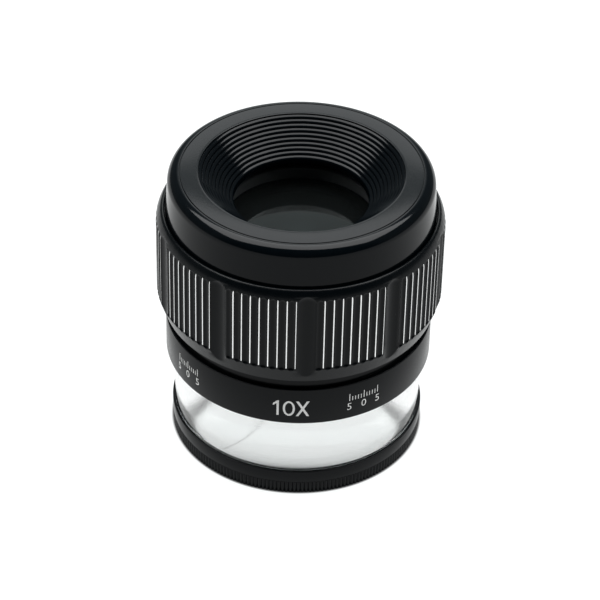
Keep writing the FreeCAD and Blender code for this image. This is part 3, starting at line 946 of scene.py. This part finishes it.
def floor_white():
    """White that glows evenly, except for a painted contact shadow: a ring under the foot of the base where
    the glow drops.
    """
    material, tree, shader = new_material(
        "floor_white", Base_Color=colour(0.10, 0.10, 0.10), Roughness=0.9, Specular_IOR_Level=0.0,
        Emission_Color=colour(0.985, 1, 1))
    place = tree.nodes.new("ShaderNodeTexCoord")
    away = tree.nodes.new("ShaderNodeVectorMath")
    away.operation = "LENGTH"
    tree.links.new(place.outputs["Object"], away.inputs[0])
    distance = away.outputs["Value"]
    # Painted contact shadow: between these radii the glow falls to a dim level, under the edge of the base
    inner = smooth_step(tree, distance, 0.0190, 0.0205, FLOOR_GLOW, PAINTED_SHADOW_GLOW)
    outer = smooth_step(tree, distance, 0.0223, 0.0228, PAINTED_SHADOW_GLOW, FLOOR_GLOW)
    tree.links.new(arithmetic(tree, "MAXIMUM", inner, outer), shader.inputs["Emission Strength"])
    return material


def make_floor():
    """The white table that the object stands on."""
    mesh = bpy.data.meshes.new("floor")
    corners = [(-FLOOR_HALF, -FLOOR_HALF, 0), (FLOOR_HALF, -FLOOR_HALF, 0),
               (FLOOR_HALF, FLOOR_HALF, 0), (-FLOOR_HALF, FLOOR_HALF, 0)]
    mesh.from_pydata(corners, [], [(0, 1, 2, 3)])
    mesh.materials.append(floor_white())
    floor = bpy.data.objects.new("floor", mesh)
    bpy.context.scene.collection.objects.link(floor)
    floor.location.z = -FLOOR_GAP


def leave_out_lenses(light):
    """Keeps a panel's bright patch off the lenses, as a polariser would."""
    left_out = bpy.data.collections.new(light.name + "_leaves_out")
    for piece in bpy.context.scene.objects:
        if "doublet" in piece.name:
            left_out.objects.link(piece)
    light.light_linking.receiver_collection = left_out
    for entry in left_out.collection_objects:
        entry.light_linking.link_state = "EXCLUDE"


def softbox(name, elevation, distance, width, height, radiance):
    """A panel behind or over the object that faces it; an elevation over 90 is on the near side."""
    rise = math.radians(elevation)
    place = Vector((0, math.cos(rise), math.sin(rise)))
    data = bpy.data.lights.new(name, "AREA")
    data.shape = "RECTANGLE"
    data.size = width
    data.size_y = height
    data.energy = radiance * math.pi * width * height
    light = bpy.data.objects.new(name, data)
    light.location = place * distance
    light.rotation_euler = place.to_track_quat("Z", "Y").to_euler()
    bpy.context.scene.collection.objects.link(light)
    leave_out_lenses(light)


DARK_ROOM = 0.03
ROOM = 0.22
WALL = 0.85


def make_world():
    """A dim room with a pale wall straight behind the object, and darkness behind the viewer."""
    world = bpy.data.worlds.new("studio")
    world.use_nodes = True
    tree = world.node_tree
    background = tree.nodes["Background"]
    place = tree.nodes.new("ShaderNodeTexCoord")
    split = tree.nodes.new("ShaderNodeSeparateXYZ")
    tree.links.new(place.outputs["Generated"], split.inputs["Vector"])
    aside = arithmetic(tree, "ABSOLUTE", split.outputs["X"])
    away = arithmetic(tree, "MULTIPLY_ADD", aside, 0.45, split.outputs["Y"])
    room = smooth_step(tree, away, -0.25, 0.20, DARK_ROOM, ROOM)
    behind = smooth_step(tree, split.outputs["Y"], 0.2, 0.5, 0.0, 1.0)
    centred = smooth_step(tree, aside, 0.10, 0.32, WALL, 0.0)
    wall = arithmetic(tree, "MULTIPLY", behind, centred)
    tree.links.new(arithmetic(tree, "ADD", room, wall), background.inputs["Strength"])
    background.inputs["Color"].default_value = (0.93, 1, 1, 1)
    bpy.context.scene.world = world


CAMERA_PLACE = (0.0002, -0.3724, 0.3109)
CAMERA_LENS = 159.4
LOOK_DOWN = math.radians(37.47)
CAMERA_ROLL = math.radians(1.37)


def make_camera():
    """The viewer: a long lens that looks down at the object, with a slight roll."""
    data = bpy.data.cameras.new("camera")
    data.lens = CAMERA_LENS
    data.clip_start = 0.01
    data.clip_end = 20
    camera = bpy.data.objects.new("camera", data)
    pitch = Matrix.Rotation(math.pi / 2 - LOOK_DOWN, 4, "X")
    roll = Matrix.Rotation(CAMERA_ROLL, 4, "Z")
    camera.matrix_world = Matrix.Translation(CAMERA_PLACE) @ pitch @ roll
    bpy.context.scene.collection.objects.link(camera)
    bpy.context.scene.camera = camera


def make_stage():
    """Everything that isn't the object: the table, the room, the three panels and the viewer."""
    make_floor()
    make_world()
    make_camera()
    softbox("back_softbox", elevation=46.5, distance=1.1, width=0.34, height=0.25, radiance=2.9)
    softbox("window", elevation=31.5, distance=1.1, width=0.34, height=0.18, radiance=1.7)
    softbox("overhead_softbox", elevation=82, distance=0.9, width=1.5, height=0.82, radiance=7.0)
    view = bpy.context.scene.view_settings
    view.view_transform = "Standard"
    view.gamma = 0.87


# ---- The whole object --------------------------------------------------------------------------------

finish_kept_nodes()
make_eyecup()
make_doublets()
make_eye_ring()
make_grip()
make_crest_lines()
make_collar()
make_printing()
make_skirt()
make_base_ring()
make_scale_glass()
make_scale()
make_stage()
